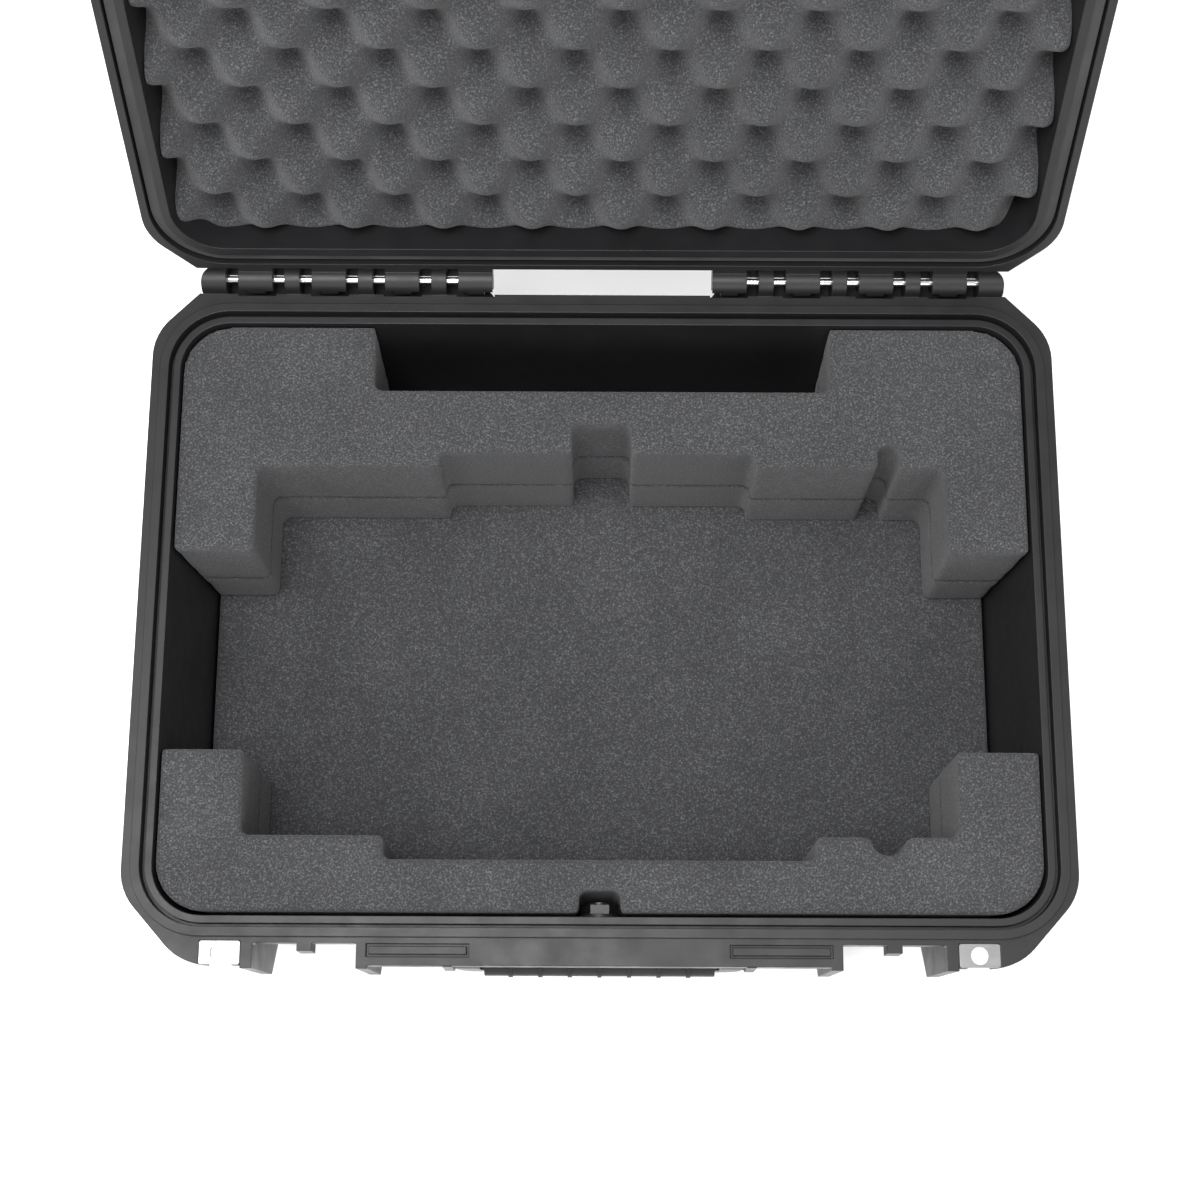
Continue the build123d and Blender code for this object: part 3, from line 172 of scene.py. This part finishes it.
def plastic(name, colour, rough, edge=0.0007):
    """Moulded plastic: fine spark-eroded grain, faint clouding and softened edges."""
    material, tree, shader, coordinates = new_material(name)
    cloud = noise(tree, coordinates, 14.0, 5.0)
    dark, light = shades(colour, 0.86, 1.16)
    tree.links.new(ramp(tree, cloud, [(0.3, dark), (0.7, light)]), shader.inputs["Base Color"])
    wear = noise(tree, coordinates, 60.0, 6.0)
    gloss = ramp(tree, wear, [(0.3, rough - 0.06), (0.75, rough + 0.08)])
    tree.links.new(gloss, shader.inputs["Roughness"])
    grain = noise(tree, coordinates, 1100.0, 3.0)
    tree.links.new(bump(tree, grain, 0.35, 0.00012, soft_edges(tree, edge)), shader.inputs["Normal"])
    shader.inputs["Specular IOR Level"].default_value = 0.30
    return material


def rubber(name, colour, rough=0.72):
    """Matt rubber with a fine tooth."""
    material, tree, shader, coordinates = new_material(name)
    cloud = noise(tree, coordinates, 35.0, 5.0)
    dark, light = shades(colour, 0.8, 1.25)
    tree.links.new(ramp(tree, cloud, [(0.3, dark), (0.7, light)]), shader.inputs["Base Color"])
    fine = noise(tree, coordinates, 1900.0, 2.0)
    tree.links.new(bump(tree, fine, 0.5, 0.0002, soft_edges(tree, 0.0006)), shader.inputs["Normal"])
    shader.inputs["Roughness"].default_value = rough
    shader.inputs["Specular IOR Level"].default_value = 0.3
    return material


def steel(name, colour, rough, along):
    """Stainless steel with drawn lines along one axis."""
    material, tree, shader, coordinates = new_material(name)
    stretch = node(tree, "ShaderNodeMapping")
    scale = [900.0, 900.0, 900.0]
    scale[along] = 30.0
    stretch.inputs["Scale"].default_value = scale
    tree.links.new(coordinates, stretch.inputs["Vector"])
    lines = noise(tree, stretch.outputs["Vector"], 1.0, 4.0)
    gloss = ramp(tree, lines, [(0.3, rough - 0.06), (0.7, rough + 0.1)])
    tree.links.new(gloss, shader.inputs["Roughness"])
    cloud = noise(tree, coordinates, 90.0, 4.0)
    dark, light = shades(colour, 0.9, 1.0)
    tree.links.new(ramp(tree, cloud, [(0.3, dark), (0.7, light)]), shader.inputs["Base Color"])
    tree.links.new(bump(tree, lines, 0.25, 0.00006, soft_edges(tree, 0.0003)), shader.inputs["Normal"])
    shader.inputs["Metallic"].default_value = 1.0
    return material


def foam_material(name, colour, speck):
    """Open-cell foam: dark cells, paler cell walls that show as fine speckle, and a soft sheen."""
    material, tree, shader, coordinates = new_material(name)
    cells = node(tree, "ShaderNodeTexVoronoi", feature="F1")
    cells.inputs["Scale"].default_value = 780.0
    tree.links.new(coordinates, cells.inputs["Vector"])
    grain = noise(tree, coordinates, 950.0, 5.0, 0.7)
    cloud = noise(tree, coordinates, 20.0, 4.0)
    dark, middle = shades(colour, 0.66, 1.05)
    base = ramp(tree, grain, [(0.36, dark), (0.52, middle), (0.66, speck)])
    tint = ramp(tree, cloud, [(0.3, 0.88), (0.7, 1.12)])
    mix = node(tree, "ShaderNodeMix", data_type="RGBA", blend_type="MULTIPLY")
    mix.inputs["Factor"].default_value = 1.0
    tree.links.new(base, mix.inputs["A"])
    tree.links.new(tint, mix.inputs["B"])
    tree.links.new(mix.outputs["Result"], shader.inputs["Base Color"])
    pits = bump(tree, cells.outputs["Distance"], 0.6, 0.0006)
    tree.links.new(bump(tree, grain, 0.7, 0.0005, pits), shader.inputs["Normal"])
    shader.inputs["Roughness"].default_value = 0.95
    shader.inputs["Specular IOR Level"].default_value = 0.15
    shader.inputs["Sheen Weight"].default_value = 0.12
    shader.inputs["Sheen Roughness"].default_value = 0.6
    return material


def vent_material():
    """A pale porous membrane."""
    material, tree, shader, coordinates = new_material("vent_membrane")
    fibres = noise(tree, coordinates, 2500.0, 5.0)
    tree.links.new(ramp(tree, fibres, [(0.3, 0.55), (0.7, 0.75)]), shader.inputs["Base Color"])
    tree.links.new(bump(tree, fibres, 0.4, 0.0001), shader.inputs["Normal"])
    shader.inputs["Roughness"].default_value = 0.85
    return material


def paint(name, material):
    """Give a CAD node its material."""
    mesh = NODES[name].data
    mesh.materials.clear()
    mesh.materials.append(material)


def evaluated_mesh(piece):
    """The mesh that a piece's modifiers make."""
    depsgraph = bpy.context.evaluated_depsgraph_get()
    return bpy.data.meshes.new_from_object(piece.evaluated_get(depsgraph))


def add_piece(name, mesh, material, body):
    """A new piece of the object that rides on a body."""
    piece = bpy.data.objects.new(name, mesh)
    bpy.context.scene.collection.objects.link(piece)
    piece.data.materials.clear()
    piece.data.materials.append(material)
    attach(piece, body)
    return piece


def cut_foam(node_name, piece_name, voxel, material):
    """A foam layer with softly rounded cut edges, made on the layer's own solid."""
    rough = bpy.data.objects.new(piece_name + "_rough", NODES[node_name].data.copy())
    bpy.context.scene.collection.objects.link(rough)
    remesh = rough.modifiers.new("cells", "REMESH")
    remesh.mode = "VOXEL"
    remesh.voxel_size = voxel
    smooth = rough.modifiers.new("soften", "SMOOTH")
    smooth.factor = 0.5
    smooth.iterations = EDGE_ROUNDS
    mesh = evaluated_mesh(rough)
    bpy.data.objects.remove(rough)
    for face in mesh.polygons:
        face.use_smooth = True
    piece = add_piece(piece_name, mesh, material, "base")
    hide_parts(node_name)


def crate_height(x, y):
    """The egg-crate surface, from 0 in a hollow to 1 on a peak."""
    turn = 2 * math.pi / CRATE_PITCH
    wave = math.cos((x - CRATE_X) * turn) * math.cos((y - CRATE_Y) * turn)
    return (0.5 + 0.5 * wave) ** CRATE_FLATTEN


def crate_foam(material):
    """The lid's convoluted foam as one closed sheet with rounded peaks and hollows."""
    closed = np.array([LID_PLACE.inverted() @ v.co for v in NODES["lid_foam"].data.vertices])
    low, high = closed.min(0), closed.max(0)
    tip_z, back_z = low[2], high[2]
    columns = int((high[0] - low[0]) / CRATE_STEP)
    rows = int((high[1] - low[1]) / CRATE_STEP)
    xs = np.linspace(low[0], high[0], columns + 1)
    ys = np.linspace(low[1], high[1], rows + 1)
    mesh = bpy.data.meshes.new("lid_egg_crate")
    built = bmesh.new()
    front, back = {}, {}
    middle = ((low[0] + high[0]) / 2, (low[1] + high[1]) / 2)
    half = ((high[0] - low[0]) / 2, (high[1] - low[1]) / 2)

    def pulled(x, y):
        """Pull a grid point in towards the sheet's rounded corners."""
        dx, dy = x - middle[0], y - middle[1]
        over_x = abs(dx) - (half[0] - CRATE_CORNER)
        over_y = abs(dy) - (half[1] - CRATE_CORNER)
        if over_x > 0 and over_y > 0:
            reach = math.hypot(over_x, over_y)
            square = max(over_x, over_y)
            share = square / reach
            dx = math.copysign(half[0] - CRATE_CORNER + over_x * share, dx)
            dy = math.copysign(half[1] - CRATE_CORNER + over_y * share, dy)
        return middle[0] + dx, middle[1] + dy

    for i, gx in enumerate(xs):
        for j, gy in enumerate(ys):
            x, y = pulled(gx, gy)
            height = float(crate_height(x, y)) * CRATE_PEAK
            rim = min(half[0] - abs(gx - middle[0]), half[1] - abs(gy - middle[1]))
            drawn = max(0.0, 1.0 - rim / CRATE_EDGE_W)
            z = tip_z + CRATE_PEAK - height + CRATE_EDGE_DROP * drawn * drawn
            front[i, j] = built.verts.new(LID_PLACE @ Vector((x, y, z)))
    for i in range(columns + 1):
        for j in range(rows + 1):
            if i in (0, columns) or j in (0, rows):
                x, y = pulled(xs[i], ys[j])
                back[i, j] = built.verts.new(LID_PLACE @ Vector((x, y, back_z)))
    for i in range(columns):
        for j in range(rows):
            built.faces.new((front[i, j], front[i, j + 1], front[i + 1, j + 1], front[i + 1, j]))
    loop = [(i, 0) for i in range(columns)] + [(columns, j) for j in range(rows)]
    loop += [(i, rows) for i in range(columns, 0, -1)] + [(0, j) for j in range(rows, 0, -1)]
    for first, second in zip(loop, loop[1:] + loop[:1]):
        built.faces.new((front[first], front[second], back[second], back[first]))
    built.faces.new([back[place] for place in reversed(loop)])
    bmesh.ops.recalc_face_normals(built, faces=built.faces)
    for face in built.faces:
        face.smooth = len(face.verts) == 4
    built.to_mesh(mesh)
    built.free()
    piece = add_piece("lid_convoluted_foam", mesh, material, "lid")
    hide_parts("lid_foam")


def add_light(name, place, target, size, power):
    """A square soft box aimed at a point."""
    light = bpy.data.lights.new(name, "AREA")
    light.shape = "SQUARE"
    light.size = size
    light.energy = power
    lamp = bpy.data.objects.new(name, light)
    bpy.context.scene.collection.objects.link(lamp)
    lamp.location = place
    lamp.rotation_euler = (Vector(target) - Vector(place)).to_track_quat("-Z", "Y").to_euler()


def add_studio():
    """A pale floor, soft boxes above and on four sides, and a bright sky."""
    mesh = bpy.data.meshes.new("floor")
    half = FLOOR_HALF
    corners = [(-half, -half, 0), (half, -half, 0), (half, half, 0), (-half, half, 0)]
    mesh.from_pydata(corners, [], [(0, 1, 2, 3)])
    floor = bpy.data.objects.new("floor", mesh)
    bpy.context.scene.collection.objects.link(floor)
    material, tree, shader, coordinates = new_material("floor_paper")
    cloud = noise(tree, coordinates, 1.5, 2.0)
    tree.links.new(ramp(tree, cloud, [(0.3, 0.9), (0.7, 0.93)]), shader.inputs["Base Color"])
    shader.inputs["Roughness"].default_value = 0.8
    floor.data.materials.append(material)
    world = bpy.data.worlds.new("sky")
    world.use_nodes = True
    background = world.node_tree.nodes["Background"]
    background.inputs["Color"].default_value = (1, 1, 1, 1)
    background.inputs["Strength"].default_value = SKY_STRENGTH
    bpy.context.scene.world = world
    for soft_box in SOFT_BOXES:
        add_light(*soft_box)


def add_camera():
    """The camera at the photograph's viewing angle."""
    data = bpy.data.cameras.new("camera")
    data.lens = LENS
    data.sensor_width = SENSOR
    data.clip_end = 30
    camera = bpy.data.objects.new("camera", data)
    bpy.context.scene.collection.objects.link(camera)
    away = Vector((0, -math.sin(CAMERA_TILT), math.cos(CAMERA_TILT)))
    turn = Matrix.Rotation(CAMERA_TILT, 4, "X") @ Matrix.Rotation(CAMERA_ROLL, 4, "Z")
    camera.matrix_world = Matrix.Translation(CAMERA_TARGET + away * CAMERA_DISTANCE) @ turn
    bpy.context.scene.camera = camera
    bpy.context.scene.view_settings.view_transform = "Standard"


add_camera()
add_studio()

FOAM = foam_material("foam_charcoal", (0.034, 0.0345, 0.0368), (0.105, 0.106, 0.112))
FINISHES = {
    "shell_plastic": plastic("shell_plastic", (0.0085, 0.0086, 0.0093), 0.43),
    "latch_plastic": plastic("latch_plastic", (0.0080, 0.0081, 0.0088), 0.38),
    "handle_plastic": plastic("handle_plastic", (0.0080, 0.0081, 0.0088), 0.38),
    "valve_plastic": plastic("valve_plastic", (0.0075, 0.0076, 0.0082), 0.36, edge=0.0004),
    "grip_rubber": rubber("grip_rubber", (0.0115, 0.0115, 0.0125)),
    "seal_rubber": rubber("seal_rubber", (0.0400, 0.0400, 0.0415), 0.62),
    "pin_steel": steel("pin_steel", (0.50, 0.50, 0.49), 0.24, along=0),
    "plate_steel": steel("plate_steel", (0.20, 0.20, 0.20), 0.34, along=0),
    "foam": FOAM,
    "vent_membrane": vent_material(),
}
for part in frame["record"]["subparts"]:
    paint(part["node"], FINISHES[part["material_slot"]])

cut_foam("foam_top_layer", "base_foam_top", TOP_VOXEL, FOAM)
cut_foam("foam_middle_layer", "base_foam_middle", MIDDLE_VOXEL, FOAM)
cut_foam("foam_bottom_pad", "base_foam_pad", PAD_VOXEL, FOAM)
crate_foam(FOAM)
